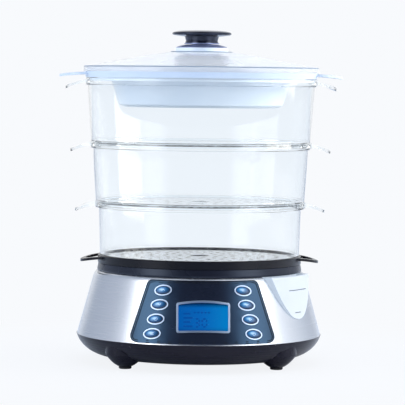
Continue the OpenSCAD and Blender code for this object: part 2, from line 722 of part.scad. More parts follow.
module buzzer() color("#17171b") on_panel([0, 28, board_z]) difference() {
    cylinder(r = 6, h = 6.5);
    translate([0, 0, 5]) cylinder(r = 1, h = 3);
}

module power_board() color("#1f5c3a") difference() {
    translate([-power_w / 2, power_y - power_l / 2, power_z]) cube([power_w, power_l, pcb_t]);
    for (x = [-1, 1], y = [-1, 1]) translate([x * power_screw[0], power_y + y * power_screw[1], power_z - 1])
        cylinder(r = 1.3, h = 5);
}

module relay() color("#2458a8") translate([-20, power_y - 7, power_z + pcb_t]) cube([19, 15.5, 15.5]);

module transformer() color("#d8b23a") translate([2, power_y - 8, power_z + pcb_t]) {
    cube([19, 17, 3]);
    translate([2, 1.5, 3 - tiny]) cube([15, 14, 11]);
    translate([0, 0, 14 - 2 * tiny]) cube([19, 17, 3]);
}

module power_board_screws() color("#8c8f94") for (x = [-1, 1], y = [-1, 1])
    translate([x * power_screw[0], power_y + y * power_screw[1], power_z + pcb_t]) mirror([0, 0, 1])
        screw(1.1, 6, 2.2, 1.4);

// ---------------------------------------------------------------- handles and vessels
// A pair of D-shaped finger loops on a rim of radius r, tips at reach, curving down by drop
module loops(r, reach, root_z, half, thick, bar, drop) {
    root_x = sqrt(r * r - half * half);
    rise = reach - root_x;
    loop_r = (half * half + rise * rise) / (2 * rise);
    steps = 6;
    top = [for (i = [0 : steps]) let (s = i / steps) [root_x - 6 + (rise + 6.5) * s, root_z - drop * s * s]];
    low = [for (p = reverse(top)) p - [0, thick]];
    for (side = [0, 180]) rotate([0, 0, side]) difference() {
        intersection() {
            translate([reach - loop_r, 0, root_z - drop - thick - 1])
                cylinder(r = loop_r, h = drop + thick + 2);
            translate([0, half + 1, 0]) rotate([90, 0, 0]) linear_extrude(2 * half + 2)
                polygon(concat(top, low));
        }
        translate([reach - loop_r, 0, root_z - drop - thick - 2])
            cylinder(r = loop_r - bar, h = drop + thick + 4);
        translate([0, 0, root_z - drop - thick - 2]) cylinder(r = r - 1, h = drop + thick + 4);
    }
}

// Where the pegs of a pair of basket loops go through the rim
module at_pegs(r, z) for (side = [0, 180], y = [-1, 1] * (handle_w - 6)) rotate([0, 0, side])
    translate([sqrt(r * r - y * y), y, z]) rotate([0, 90, 0]) children();

// The clear loops that clip on a basket's rim, each with two clips and their pegs
module basket_handles(rim_r, z1) color("#e4eef8", 0.35) difference() {
    peg_z = z1 - 2 - handle_t / 2;
    union() {
        difference() {
            union() {
                loops(rim_r, rim_r + handle_out, z1 - 2, handle_w, handle_t, handle_bar, handle_drop);
                at_pegs(rim_r, peg_z) translate([-clip_h / 2, -clip_w / 2, -2]) cube([clip_h, clip_w, 4]);
            }
            translate([0, 0, z1 - 30]) cylinder(r = rim_r, h = 40);
        }
        at_pegs(rim_r, peg_z) translate([0, 0, -basket_t]) cylinder(r = peg_r, h = basket_t + 1);
    }
    translate([0, 0, z1 - 30]) cylinder(r = rim_r - basket_t + 0.3, h = 40);
}
module handles_lower() basket_handles(middle_r + 0.5, lower_top);
module handles_middle() basket_handles(upper_r + 0.5, middle_top);
module handles_upper() basket_handles(upper_rim_r, upper_top);

module steam_ring() color("#d9dde2") difference() {
    base_z = tank_floor + tank_t;
    turned([[steam_ring_r - 2, base_z], [steam_ring_r, base_z], [steam_ring_r, base_z + steam_ring_h - 8],
        [steam_ring_r - 14, base_z + steam_ring_h], [steam_ring_r - 16.4, base_z + steam_ring_h],
        [steam_ring_r - 2, base_z + steam_ring_h - 8.9]]);
    // water gates round the foot
    for (a = [0 : 45 : 135]) rotate([0, 0, a]) translate([-steam_ring_r - 5, -6, base_z - 1])
        cube([2 * steam_ring_r + 10, 12, 6]);
}

module drip_tray() color("#17171e") union() {
    turned([[tray_r, collar_top], [tray_r, tray_top - 1.4], [tray_r - 1.4, tray_top],
        [tray_seat_r, tray_top], [tray_seat_r, tray_top - nest_h - 1],
        [tray_well_r - tray_t, tray_top - nest_h - 1], [tray_well_r - tray_t - 1.4, tray_floor + tray_t],
        [chimney_r + tray_t, tray_floor + tray_t], [chimney_r + tray_t, tray_top - nest_h - 5],
        [chimney_r, tray_top - nest_h - 5], [chimney_r, tray_floor],
        [tray_well_r - 1.4, tray_floor], [tray_well_r, collar_top]]);
    loops(tray_r, tray_r + tray_loop_out, tray_top - 1.6, handle_w + 1, handle_t - 0.6, handle_bar - 0.5,
        tray_loop_drop);
}

// A clear basket: foot that drops into the rim below, tapering wall, rim band with a seat
module basket(z0, z1, foot_r, wall_top_r, rim_r) color("#e4eef8", 0.35) difference() {
    out = foot_r - 2.1 - slip;
    inner = out - basket_t;
    turned([
        [inner - ledge, z0 - nest_h], [out, z0 - nest_h], [out, z0], [foot_r, z0],
        [wall_top_r, z1 - rim_band], [rim_r - 0.8, z1 - rim_band], [rim_r, z1 - rim_band + 0.8],
        [rim_r, z1 - 0.7], [rim_r - 0.7, z1], [rim_r - basket_t, z1],
        [rim_r - basket_t, z1 - rim_band + basket_t], [wall_top_r - basket_t, z1 - rim_band + basket_t],
        [foot_r - basket_t, z0 + basket_t], [inner, z0 + basket_t], [inner, z0 - nest_h + basket_t],
        [inner - ledge, z0 - nest_h + basket_t]]);
    at_pegs(rim_r, z1 - 2 - handle_t / 2) translate([0, 0, -6]) cylinder(r = peg_r + gap, h = 12);
}

// The perforated floor that drops on the ledge in a basket's foot
module basket_floor(z0, foot_r) color("#e4eef8", 0.45) {
    r = foot_r - 2.1 - slip - basket_t - slip;
    rings = floor((r - 8) / floor_pitch);
    translate([0, 0, z0 - nest_h + basket_t]) difference() {
        cylinder(r = r, h = floor_t);
        translate([0, 0, -1]) cylinder(r = finger_hole_r, h = floor_t + 2);
        for (k = [1 : rings - 1]) let (ring_r = finger_hole_r + k * floor_pitch - 3)
            ring_of(round(PI * 2 * ring_r / floor_pitch), ring_r) translate([0, 0, -1])
                cylinder(r = floor_hole_d / 2, h = floor_t + 2);
    }
}

// Wall radius under a basket's rim, set in from the seat of the basket above
module basket_lower() basket(tray_top, lower_top, lower_r, lower_r + 1.6, middle_r + 0.5);
module floor_lower() basket_floor(tray_top, lower_r);
module basket_middle() basket(lower_top, middle_top, middle_r, middle_r + 4, upper_r + 0.5);
module floor_middle() basket_floor(lower_top, middle_r);
module basket_upper() basket(middle_top, upper_top, upper_r, upper_r + 4.8, upper_rim_r);
module floor_upper() basket_floor(middle_top, upper_r);

// Outer face of the bowl's band, from the basket's rim out to the lid
bowl_band = [[upper_rim_r, upper_top], [lid_r - 1, band_top]];

module rice_bowl() color("#e9f1fa") difference() {
    rib = upper_rim_r - basket_t - slip;
    floor_z = upper_top - bowl_depth;
    turned(concat(
        [[0, floor_z], [bowl_floor_r - 8, floor_z], [bowl_floor_r - 8, floor_z - bowl_foot_h],
         [bowl_floor_r - 5.6, floor_z - bowl_foot_h]],
        arc_pts([bowl_floor_r - 4, floor_z + 4], 4, -80, -10, 5),
        [[bowl_r, upper_top - 3], [bowl_r, upper_top], [rib - bowl_t, upper_top],
         [rib - bowl_t, upper_top - 4],
         [rib, upper_top - 4], [rib, upper_top]], bowl_band,
        [[lid_r - 1 - bowl_t, band_top],
         [upper_rim_r - bowl_t, upper_top + bowl_t], [bowl_r - bowl_t, upper_top + bowl_t],
         [bowl_r - bowl_t, upper_top - 3]],
        arc_pts([bowl_floor_r - 4, floor_z + 4], 4 - bowl_t, -10, -80, 5),
        [[0, floor_z + bowl_t]]));
    // steam slots in the flange
    for (a = [0 : 30 : 330]) rotate([0, 0, a + 15 - 8]) translate([0, 0, upper_top - 1])
        rotate_extrude(angle = 16) translate([bowl_r + 7, 0]) square([14, bowl_t + 2]);
}

// The finger loops on the bowl's band
module bowl_ears() color("#e9f1fa") difference() {
    loops(lid_r - 1.4, lid_r + ear_out, band_top - 0.6, handle_w - 2, handle_t - 0.6, handle_bar - 0.5, 3);
    turned(concat([[0, upper_top]], bowl_band, [[lid_r - 1, band_top + 5], [0, band_top + 5]]));
}

// ---------------------------------------------------------------- lid and knob
lid_top_line = [[lid_r, edge_top - 1], [lid_r - 1, edge_top + 0.4], [lid_r - 21, edge_top + lid_rise * 0.22],
    [lid_r - 46, edge_top + lid_rise * 0.49], [lid_r - 71, edge_top + lid_rise * 0.74],
    [lid_r - 89, edge_top + lid_rise * 0.9], [cap_r + 8, dome_top], [cap_r + 1, dome_top],
    [cap_r, dome_top + 1]];

module lid_dome() color("#e4eef8", 0.35) difference() {
    plug = lid_r - 1 - bowl_t - slip;
    cap_line = ellipse_arc([0, hub_top - 1.4], cap_r, cap_rise + 1.4, 0, 90, 5);
    hub_in = cap_r - lid_t;
    turned(concat(
        [[plug - 3.8, band_top - lid_plug_h], [plug - 1.8, band_top - lid_plug_h], [plug, band_top],
         [lid_r, band_top]],
        lid_top_line, cap_line,
        [[0, hub_under], [hub_in, hub_under], [hub_in, dome_top - lid_t], [cap_r + 6, dome_top - lid_t]],
        reverse([for (i = [2 : 5]) lid_top_line[i] - [0.4, lid_t]]),
        [[lid_r - lid_t, edge_top - 1.4], [lid_r - lid_t, band_top + lid_t], [plug - 2, band_top + lid_t]]));
    translate([0, 0, hub_under - 1]) cylinder(r = knob_screw_r + 0.3, h = 20);
    // four groups of three steam slots
    for (a = [0 : 90 : 270], r = [96, 108, 120]) rotate([0, 0, vent_angle + a - 90 - 6 * 57.3 / r])
        translate([0, 0, band_top]) rotate_extrude(angle = 12 * 57.3 / r) translate([r - 1.5, 0])
            square([3, lid_rise + 10]);
}

module knob_washer() color("#d5d8dc") translate([0, 0, hub_top + cap_rise])
    tube(knob_neck_r + 1, knob_screw_r + 0.3, washer_t);

module lid_knob() color("#0c0c10") difference() {
    turned(concat(
        [[0, knob_z], [knob_neck_r, knob_z], [knob_neck_r - 0.8, knob_z + 3],
         [knob_neck_r + 0.4, knob_z + knob_h * 0.5], [knob_r - 2.6, knob_z + knob_h * 0.6]],
        ellipse_arc([knob_r - 2.6, knob_z + knob_h * 0.73], 2.6, knob_h * 0.125, -70, 60, 5),
        [[knob_r * 0.85, knob_z + knob_h * 0.91], [knob_r * 0.6, knob_z + knob_h * 0.965],
         [knob_r * 0.3, knob_z + knob_h * 0.99], [0, knob_z + knob_h]]));
    translate([0, 0, knob_z - 1]) cylinder(r = knob_screw_r + gap, h = knob_h * 0.72 + 1);
}

module knob_retainer() color("#eef2f6") difference() {
    low = hub_under - retainer_h;
    turned(concat(
        ellipse_arc([0, low], retainer_r, retainer_bulge, -90, 0, 6),
        [[retainer_r, dome_top - lid_t], [retainer_r - 2, dome_top - lid_t],
         [retainer_r - 2, low + 1.4], [6, low + 1.4],
         [6, hub_under], [0, hub_under]]));
    translate([0, 0, low - 5]) cylinder(r = knob_screw_r + 0.3, h = 40);
    translate([0, 0, low - retainer_bulge - 1]) cylinder(r = 5.2, h = 4.4);
}

module knob_screw() color("#8c8f94") {
    seat = hub_under - retainer_h - retainer_bulge + 3.4;
    translate([0, 0, seat]) screw(knob_screw_r, knob_z + knob_h * 0.7 - seat, 4.8, 2.8);
}

// ---------------------------------------------------------------- assembly
foot_pads();
bottom_cover();
cover_screws();
lower_housing();
tank_screws();
steel_shell();
top_collar();
water_tank();
tank_throat();
heater_gasket();
heater_plate();
heater_element();
heater_clamp();
clamp_screws();
thermostat();
thermal_fuse();
water_inlet();
inlet_seal();
control_fascia();
lcd_frame();
lcd_window();
lcd_module();
lcd_holder();
button_rims();
control_board();
tact_switches();
board_screws();
buzzer();
power_board();
relay();
transformer();
power_board_screws();
cord_gland();
steam_ring();
drip_tray();
basket_lower();
handles_lower();
floor_lower();
basket_middle();
handles_middle();
floor_middle();
basket_upper();
handles_upper();
floor_upper();
rice_bowl();
bowl_ears();
lid_dome();
knob_washer();
lid_knob();
knob_retainer();
knob_screw();
button_1();
button_2();
button_3();
button_4();
button_5();
button_6();
button_7();
button_8();
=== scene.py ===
"""Looks of the three-tier electric steamer: finishes, display, buttons, fine lines and studio."""

import json
import math

import bpy
from mathutils import Matrix, Vector


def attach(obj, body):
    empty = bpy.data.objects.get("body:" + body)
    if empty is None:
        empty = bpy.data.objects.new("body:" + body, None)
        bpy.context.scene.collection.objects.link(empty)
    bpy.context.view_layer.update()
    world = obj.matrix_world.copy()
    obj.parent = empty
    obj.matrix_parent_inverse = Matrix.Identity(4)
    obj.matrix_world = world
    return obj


MM = 0.001
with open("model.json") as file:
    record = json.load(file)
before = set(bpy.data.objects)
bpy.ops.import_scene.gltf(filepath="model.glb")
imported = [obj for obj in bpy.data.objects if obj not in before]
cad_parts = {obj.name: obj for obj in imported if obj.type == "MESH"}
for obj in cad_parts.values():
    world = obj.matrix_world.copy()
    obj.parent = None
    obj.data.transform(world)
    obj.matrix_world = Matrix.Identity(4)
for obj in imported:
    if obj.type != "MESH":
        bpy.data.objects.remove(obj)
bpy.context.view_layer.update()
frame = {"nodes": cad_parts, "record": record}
bpy.ops.object.select_all(action="DESELECT")

# ------------------------------------------------------------------ sizes in mm, as in the part's source
SKIRT_H = 34.0
SHELL_TOP = 110.0
SHELL_FOOT_R = 146.2
SHELL_TOP_R = 121.5
SHOULDER_R = 9.0
SHOULDER_END = math.radians(68)
PANEL_Z = 70.6
PANEL_PROUD = 1.3
PANEL_HIGH_W, PANEL_LOW_W, PANEL_CORNER = 63.2, 86.2, 7.0
PANEL_LIFT, PANEL_H = 1.6, 71.7
LCD_Y = -5.1
LCD_DEPTH = 9.3  # the lit face behind the panel's tangent plane
LCD_HALF_W = 30.0
LCD_LOW_Z, LCD_HIGH_Z = 50.0, 84.0
BUTTON_AT, BUTTON_STEP = 46.1, 4.2
BUTTON_MID, BUTTON_PITCH = 2.85, 16.7
CAP_PROUD = 0.9
LID_R, EDGE_TOP = 141.2, 353.0
DOME_TOP, HUB_TOP = 371.0, 377.0
HUB_CAP_R, HUB_CAP_Z, HUB_CAP_H = 31.0, 375.6, 5.4
INLET_TOP, INLET_LEAN_H = 109.5, 59.0
INLET_MOUTH_R, INLET_FOOT_R = 134.0, 141.0

shoulder = (
    SHELL_TOP_R - SHOULDER_R * math.cos(SHOULDER_END),
    SHELL_TOP - SHOULDER_R * math.sin(SHOULDER_END),
)
foot = (SHELL_FOOT_R - shoulder[0], SKIRT_H - shoulder[1])
TILT = math.atan2(foot[1], foot[0]) + math.acos(SHOULDER_R / math.hypot(*foot))
PANEL_UP = Vector((0, math.sin(TILT), math.cos(TILT)))
PANEL_OUT = Vector((0, -math.cos(TILT), math.sin(TILT)))


def shell_radius(z, off=0.0):
    """Radius of the steel shell's cone at a height, or of its skin some way out, in mm."""
    return SHELL_FOOT_R - (z - SKIRT_H) * math.tan(TILT) + off / math.cos(TILT)


# ------------------------------------------------------------------ materials
CLOUD = 0.022 / MM  # tone and gloss drift over a moulding in clouds about 45 mm wide
FLOW = 0.026 / MM  # a clear moulding has waves about 38 mm long, from how it filled its tool


def tone(hex_colour, alpha=1.0):
    """A linear colour from an sRGB hex value."""
    parts = [int(hex_colour[i : i + 2], 16) / 255 for i in (1, 3, 5)]
    linear = [c / 12.92 if c <= 0.04045 else ((c + 0.055) / 1.055) ** 2.4 for c in parts]
    return (*linear, alpha)


def add(tree, kind, inputs=None, stops=(), **fields):
    """Adds a node with its settings; an input is a value or (node, output) to link, and the stops
    of a colour ramp are (place, hex)."""
    made = tree.nodes.new(kind)
    for key, value in fields.items():
        setattr(made, key, value)
    for key, value in (inputs or {}).items():
        if isinstance(value, tuple) and len(value) == 2 and isinstance(value[0], bpy.types.Node):
            tree.links.new(value[0].outputs[value[1]], made.inputs[key])
        else:
            made.inputs[key].default_value = value
    if stops:
        band = made.color_ramp.elements
        while len(band) < len(stops):
            band.new(0.5)
        for element, (place, colour) in zip(band, stops):
            element.position = place
            element.color = tone(colour)
    return made


def blank(name):
    """A new material with an empty tree."""
    made = bpy.data.materials.new(name)
    made.use_nodes = True
    made.node_tree.nodes.clear()
    return made, made.node_tree


def surface(tree, shader):
    """Gives the material its surface."""
    out = add(tree, "ShaderNodeOutputMaterial")
    tree.links.new(shader.outputs[0], out.inputs["Surface"])


def moulded(
    name, low, high, rough, grain_mm, bump,
    swing=0.05, metallic=0.0, edge=0.4, shine=0.5, cast="#ffffff", backlight_and_painted_glow=0.0, glow="#d6e8fa",
):
    """Moulded plastic, rubber or cast metal: two close tones, a fine grain, an uneven gloss and
    edges that catch the light as if rounded by edge mm. Cast tints its reflections, and the last
    two give a glow of the glow's colour: the real backlight on display segments, and elsewhere a
    painted glow that stands in for light coming through from behind."""
    made, tree = blank(name)
    place = add(tree, "ShaderNodeTexCoord")
    cloud = add(
        tree, "ShaderNodeTexNoise", {"Vector": (place, "Object"), "Scale": CLOUD, "Detail": 3.0}
    )
    grain = add(
        tree,
        "ShaderNodeTexNoise",
        {"Vector": (place, "Object"), "Scale": 1 / (grain_mm * MM), "Detail": 2.0},
    )
    colour = add(tree, "ShaderNodeValToRGB", {"Fac": (cloud, "Fac")}, [(0.3, low), (0.7, high)])
    gloss = add(
        tree,
        "ShaderNodeMapRange",
        {"Value": (cloud, "Fac"), "To Min": rough - swing, "To Max": rough + swing},
    )
    soft = add(tree, "ShaderNodeBevel", {"Radius": edge * MM}, samples=4)
    dent = add(
        tree,
        "ShaderNodeBump",
        {"Strength": bump, "Distance": 0.2 * MM, "Height": (grain, "Fac"), "Normal": (soft, "Normal")},
    )
    shader = add(
        tree,
        "ShaderNodeBsdfPrincipled",
        {
            "Base Color": (colour, "Color"),
            "Roughness": (gloss, "Result"),
            "Normal": (dent, "Normal"),
            "Metallic": metallic,
            "Specular IOR Level": shine,
            "Specular Tint": tone(cast),
            "Emission Color": tone(glow),
            "Emission Strength": backlight_and_painted_glow,
        },
    )
    surface(tree, shader)
    return made


def brushed(name, low, high, rough, along=0.009, across=2.6):
    """Sheet metal brushed round the shell, with so many scratches to the millimetre along and
    across the brush. They stretch reflections upright, and are drawn as coarse as they show."""
    made, tree = blank(name)
    place = add(tree, "ShaderNodeTexCoord")
    lie = add(
        tree,
        "ShaderNodeMapping",
        {"Vector": (place, "Object"), "Scale": (along / MM, along / MM, across / MM)},
    )
    scratch = add(
        tree, "ShaderNodeTexNoise", {"Vector": (lie, "Vector"), "Scale": 1.0, "Detail": 3.0}
    )
    colour = add(tree, "ShaderNodeValToRGB", {"Fac": (scratch, "Fac")}, [(0.3, low), (0.7, high)])
    gloss = add(
        tree,
        "ShaderNodeMapRange",
        {"Value": (scratch, "Fac"), "To Min": rough - 0.012, "To Max": rough + 0.012},
    )
    dent = add(
        tree, "ShaderNodeBump", {"Strength": 0.006, "Distance": 0.1 * MM, "Height": (scratch, "Fac")}
    )
    round_it = add(tree, "ShaderNodeTangent", direction_type="RADIAL", axis="Z")
    shader = add(
        tree,
        "ShaderNodeBsdfPrincipled",
        {
            "Base Color": (colour, "Color"),
            "Metallic": 1.0,
            "Roughness": (gloss, "Result"),
            "Normal": (dent, "Normal"),
            "Anisotropic": 0.55,
            "Tangent": (round_it, "Tangent"),
        },
    )
    surface(tree, shader)
    return made


def see_through(name, tint, rough, alpha=None, ior=1.45, bump=0.04, clear=1.0):
    """Clear moulded plastic with a slight flow waviness. With alpha it veils what is behind it
    without bending it, and otherwise it refracts as solid polycarbonate does; a clear share
    below 1 makes it milky."""
    made, tree = blank(name)
    place = add(tree, "ShaderNodeTexCoord")
    flow = add(
        tree, "ShaderNodeTexNoise", {"Vector": (place, "Object"), "Scale": FLOW, "Detail": 1.0}
    )
    dent = add(
        tree, "ShaderNodeBump", {"Strength": bump, "Distance": 1.0 * MM, "Height": (flow, "Fac")}
    )
    shader = add(
        tree,
        "ShaderNodeBsdfPrincipled",
        {
            "Base Color": tone(tint),
            "Roughness": rough,
            "Normal": (dent, "Normal"),
            "IOR": ior,
        },
    )
    if alpha is None:
        shader.inputs["Transmission Weight"].default_value = clear
    else:
        shader.inputs["Alpha"].default_value = alpha
    surface(tree, shader)
    return made


def lit_display(name):
    """Backlit liquid crystal: blue that brightens to the right, with painted shade darkening it along
    its top where the recess's top wall shadows it.
    """
    made, tree = blank(name)
    place = add(tree, "ShaderNodeTexCoord")
    parts = add(tree, "ShaderNodeSeparateXYZ", {"Vector": (place, "Object")})
    across = add(
        tree,
        "ShaderNodeMapRange",
        {"Value": (parts, "X"), "From Min": -LCD_HALF_W * MM, "From Max": LCD_HALF_W * MM},
    )
    upwards = add(
        tree,
        "ShaderNodeMapRange",
        {"Value": (parts, "Z"), "From Min": LCD_LOW_Z * MM, "From Max": LCD_HIGH_Z * MM},
    )
    colour = add(
        tree,
        "ShaderNodeValToRGB",
        {"Fac": (across, "Result")},
        [(0.0, "#005cb2"), (0.5, "#0068c0"), (1.0, "#0084d0")],
    )
    # painted shade: a dark band along the top for the shadow of the recess's top wall
    shade = add(
        tree,
        "ShaderNodeValToRGB",
        {"Fac": (upwards, "Result")},
        [(0.0, "#d8d8d8"), (0.12, "#ffffff"), (0.76, "#ffffff"), (0.9, "#6c6c6c"), (1.0, "#202020")],
    )
    blend = add(
        tree,
        "ShaderNodeMix",
        {0: 1.0, 6: (colour, "Color"), 7: (shade, "Color")},
        data_type="RGBA",
        blend_type="MULTIPLY",
    )
    shader = add(
        tree,
        "ShaderNodeBsdfPrincipled",
        {
            "Base Color": tone("#000205"),
            "Roughness": 0.5,
            "Specular IOR Level": 0.1,
            "Emission Color": (blend, 2),
            "Emission Strength": 1.0,
        },
    )
    surface(tree, shader)
    return made


def button_lens(name):
    """Domed navy lens with a painted highlight: a pale blue patch left of its middle, fading to darker
    navy towards its edge.
    """
    made, tree = blank(name)
    glow = add(tree, "ShaderNodeAttribute", attribute_name="glow")
    colour = add(
        tree,
        "ShaderNodeValToRGB",
        {"Fac": (glow, "Fac")},
        [(0.0, "#13304c"), (0.3, "#1e507c"), (0.62, "#3b7fb0"), (1.0, "#b6e2fb")],
    )
    shader = add(
        tree,
        "ShaderNodeBsdfPrincipled",
        {"Base Color": (colour, "Color"), "Roughness": 0.12, "Specular IOR Level": 0.5},
    )
    surface(tree, shader)
    return made


FINISH = {
    # ABS from a polished tool: nearly black with a blue cast
    "skirt_plastic": moulded(
        "glossy_black_abs", "#110f1b", "#151320", 0.24, 0.9, 0.04, 0.03, shine=0.18
    ),
    # polypropylene: black and a little waxy
    "tray_plastic": moulded(
        "black_polypropylene", "#0b0c13", "#101119", 0.24, 0.8, 0.04, 0.03, shine=0.18
    ),
    # moulded rubber, matt and slightly dusty
    "rubber": moulded("moulded_rubber", "#131318", "#1b1b20", 0.75, 0.7, 0.35),
    # ABS from an etched tool: an even matt black
    "cover_plastic": moulded("textured_black_abs", "#17171b", "#1d1d22", 0.62, 0.8, 0.45),
    # stainless sheet, brushed level: reflections drawn out upright
    "steel": brushed("brushed_stainless", "#dee1e6", "#e2e5ea", 0.27),
    # satin ABS: slate with a soft sky-blue sheen
    "collar_plastic": moulded(
        "satin_slate_abs", "#191b25", "#1d1f2a", 0.28, 0.9, 0.05, 0.03, shine=0.4, cast="#c6d8f0"
    ),
    # acrylic backed with slate print: dark in front, blue where it mirrors the pale sides
    "panel_plastic": moulded(
        "gloss_slate_acrylic", "#1a1d28", "#1f222d", 0.17, 1.2, 0.02, 0.02, shine=1.0, cast="#8ac0f2"
    ),
    # nylon with glass fibre: grey-black with a dry sheen
    "tank_plastic": moulded("satin_glass_filled_nylon", "#1f2026", "#292a31", 0.5, 0.9, 0.3),
    # moulded silicone: brick red and matt
    "silicone": moulded("moulded_silicone", "#a03a26", "#b4452e", 0.6, 1.0, 0.2),
    # die-cast aluminium: pale grey, finely pitted
    "cast_alloy": moulded("die_cast_aluminium", "#9a9c9f", "#b2b4b7", 0.42, 1.2, 0.3, metallic=1.0),
    # steel tube browned by its own heat
    "element_sheath": moulded(
        "oxidised_steel_tube", "#4c4a4a", "#67615c", 0.45, 1.0, 0.2, metallic=1.0
    ),
    # zinc plate: bright grey with a faint mottle
    "plated_steel": moulded("zinc_plated_steel", "#9b9da1", "#b9bbbf", 0.32, 0.8, 0.15, metallic=1.0),
    # fired and unglazed: chalky buff
    "ceramic_body": moulded("unglazed_ceramic", "#c2b093", "#cfbfa5", 0.8, 0.7, 0.3),
    # woven glass: cream and coarse
    "fuse_sleeve": moulded("woven_glass_sleeve", "#cfc8b4", "#ded8c6", 0.85, 0.5, 0.6),
    # frosted polypropylene: milk white, with a painted glow standing in for light coming through it
    "inlet_clear": moulded(
        "frosted_polypropylene", "#a9acb0", "#b0b3b7", 0.3, 1.0, 0.05, backlight_and_painted_glow=0.34
    ),
    # grey silicone: matt
    "seal_grey": moulded("grey_silicone", "#8d9299", "#9ba0a6", 0.6, 0.9, 0.2),
    # plated ABS, satin: silver tinted blue in its own colour, a painted reflection of the pale blue
    # round it, besides what it really mirrors
    "silver_trim": moulded("satin_silver_plate", "#aebdd3", "#bccbe0", 0.34, 1.0, 0.03, metallic=0.9),
    # cast acrylic: a faint navy veil over the display
    "display_window": see_through("clear_acrylic_window", "#0a1a30", 0.04, alpha=0.06, bump=0.0),
    # the display glows by itself
    "display": lit_display("backlit_liquid_crystal"),
    # white ABS: a plain inside moulding
    "holder_plastic": moulded("white_abs", "#d3d5d8", "#dee0e3", 0.5, 0.9, 0.2),
    # solder mask: dark green, half gloss
    "board": moulded("green_solder_mask", "#12492a", "#175a35", 0.4, 0.8, 0.3),
    # phenolic: plain black
    "switch_plastic": moulded("black_phenolic", "#17171a", "#1f1f23", 0.5, 0.6, 0.3),
    # polyester: mid blue, as relays have
    "relay_plastic": moulded("blue_polyester", "#1d4f9c", "#2459ac", 0.4, 0.8, 0.2),
    # polyester tape round a winding: yellow and smooth
    "winding": moulded("polyester_tape", "#cda22a", "#dab340", 0.45, 0.6, 0.3),
    # acrylic: navy and glossy, with pale blue reflections
    "button_cap": moulded(
        "navy_gloss_acrylic", "#0c1830", "#12223f", 0.16, 1.2, 0.02, cast="#b4d2f4"
    ),
    # polypropylene: pale grey
    "ring_plastic": moulded("pale_polypropylene", "#cfd4da", "#dadfe4", 0.45, 0.9, 0.2),
    # polycarbonate: its thick rims draw grey-blue lines
    "basket_clear": see_through("clear_polycarbonate", "#f9fcfe", 0.04, ior=1.28),
    # polycarbonate, a little duller from its tool: the holes show as rings
    "floor_clear": see_through("clear_polycarbonate_floor", "#f6fafd", 0.06),
    # white polypropylene: a cool white that is a little waxy
    "bowl_plastic": moulded(
        "white_polypropylene", "#cedbea", "#d6e1ee", 0.3, 1.0, 0.04, cast="#d8e8fa"
    ),
    # polycarbonate with a misted underside: half clear, half milky
    "lid_clear": see_through("misted_lid_polycarbonate", "#e5e8ec", 0.14, ior=1.4, clear=0.55),
    # painted shade: fine grey lines that stand in for the shade at the lid's edge and round the foot of
    # its hub
    "painted_shade_line": moulded("grey_painted_shade_line", "#7f8ea0", "#8a99aa", 0.5, 0.8, 0.0, shine=0.2),
    # white skin round the hub, seen through the lid, with a faint painted glow that lightens it
    "hub_white": moulded("white_hub_skin", "#e6eff8", "#ecf4fb", 0.3, 0.9, 0.0, backlight_and_painted_glow=0.12),
    # blued steel: slate blue, satin
    "washer_metal": moulded(
        "blued_steel_washer", "#929ec8", "#a0abd0", 0.34, 1.0, 0.02, metallic=0.6
    ),
    # polished phenolic: black, with sharp pale highlights
    "knob_plastic": moulded(
        "gloss_black_phenolic", "#0d0e18", "#12131e", 0.1, 1.1, 0.02, shine=0.85, cast="#c6d0f0"
    ),
    # screen paint: flat dark grey
    "level_paint": moulded("grey_level_paint", "#4d5966", "#5c6875", 0.5, 0.8, 0.1),
    # switched-on crystal: it holds most of the backlight back
    "segment_ink": moulded(
        "dark_blue_segments", "#000204", "#000306", 0.5, 0.8, 0.0, shine=0.1, backlight_and_painted_glow=1.0, glow="#0250a4"
    ),
    # flat dark lines, darker than the fascia round it; the one along the edge is painted shade
    "dark_border_line": moulded("black_border_line", "#0a0f18", "#0d131d", 0.5, 0.8, 0.02, shine=0.15),
    # screen paint: pale blue signs
    "icon_paint": moulded("pale_blue_icon_paint", "#c2dcf2", "#d2e6f8", 0.4, 0.8, 0.0),
    # navy lens with a painted highlight
    "button_lens": button_lens("navy_lens_painted_highlight"),
}

# clear pieces let the lamps through to what is inside them
CLEAR = {"basket_clear", "floor_clear", "lid_clear", "display_window"}

slot_of = {part["node"]: part["material_slot"] for part in frame["record"]["subparts"]}
for name, solid in frame["nodes"].items():
    solid.data.materials.clear()
    solid.data.materials.append(FINISH[slot_of[name]])
    solid.visible_shadow = slot_of[name] not in CLEAR


# ------------------------------------------------------------------ placing things
def on_panel(x, y, z=0.0):
    """Point square to the control panel, in mm: x right, y up the slope, z outwards."""
    base = Vector((0, -shell_radius(PANEL_Z), PANEL_Z))
    return base + Vector((1, 0, 0)) * x + PANEL_UP * y + PANEL_OUT * z


def on_shell(x, y, off=0.0):
    """Point of the curved shell in front of a panel point, in mm, or of its skin some way out."""
    point = on_panel(x, y)
    for _ in range(30):  # each step closes nine tenths of the gap
        gap = math.hypot(point.x, point.y) - shell_radius(point.z, off)
        point -= PANEL_OUT * gap * 0.9
    return point


def wrapped(made, x, y, off):
    """Lays a flat piece on the shell's curve round a panel point, as the caps and rims lie."""
    for vertex in made.data.vertices:
        u, v, w = vertex.co / MM
        vertex.co = on_shell(x + u, y + v, off + w) * MM
    return made


def settle(made, name, finish, body):
    """Names a finished piece, gives it its finish and lets it ride on its body."""
    made.name = name
    made.data.name = name
    made.data.materials.clear()
    made.data.materials.append(finish)
    made.location = (0, 0, 0)
    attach(made, body)
    made.select_set(False)
    return made


def fresh(maker, **options):
    """Adds a primitive with nothing else selected and opens it for editing."""
    bpy.ops.object.select_all(action="DESELECT")
    maker(**options)
    bpy.ops.object.mode_set(mode="EDIT")
    bpy.ops.mesh.select_all(action="SELECT")
    return bpy.context.object


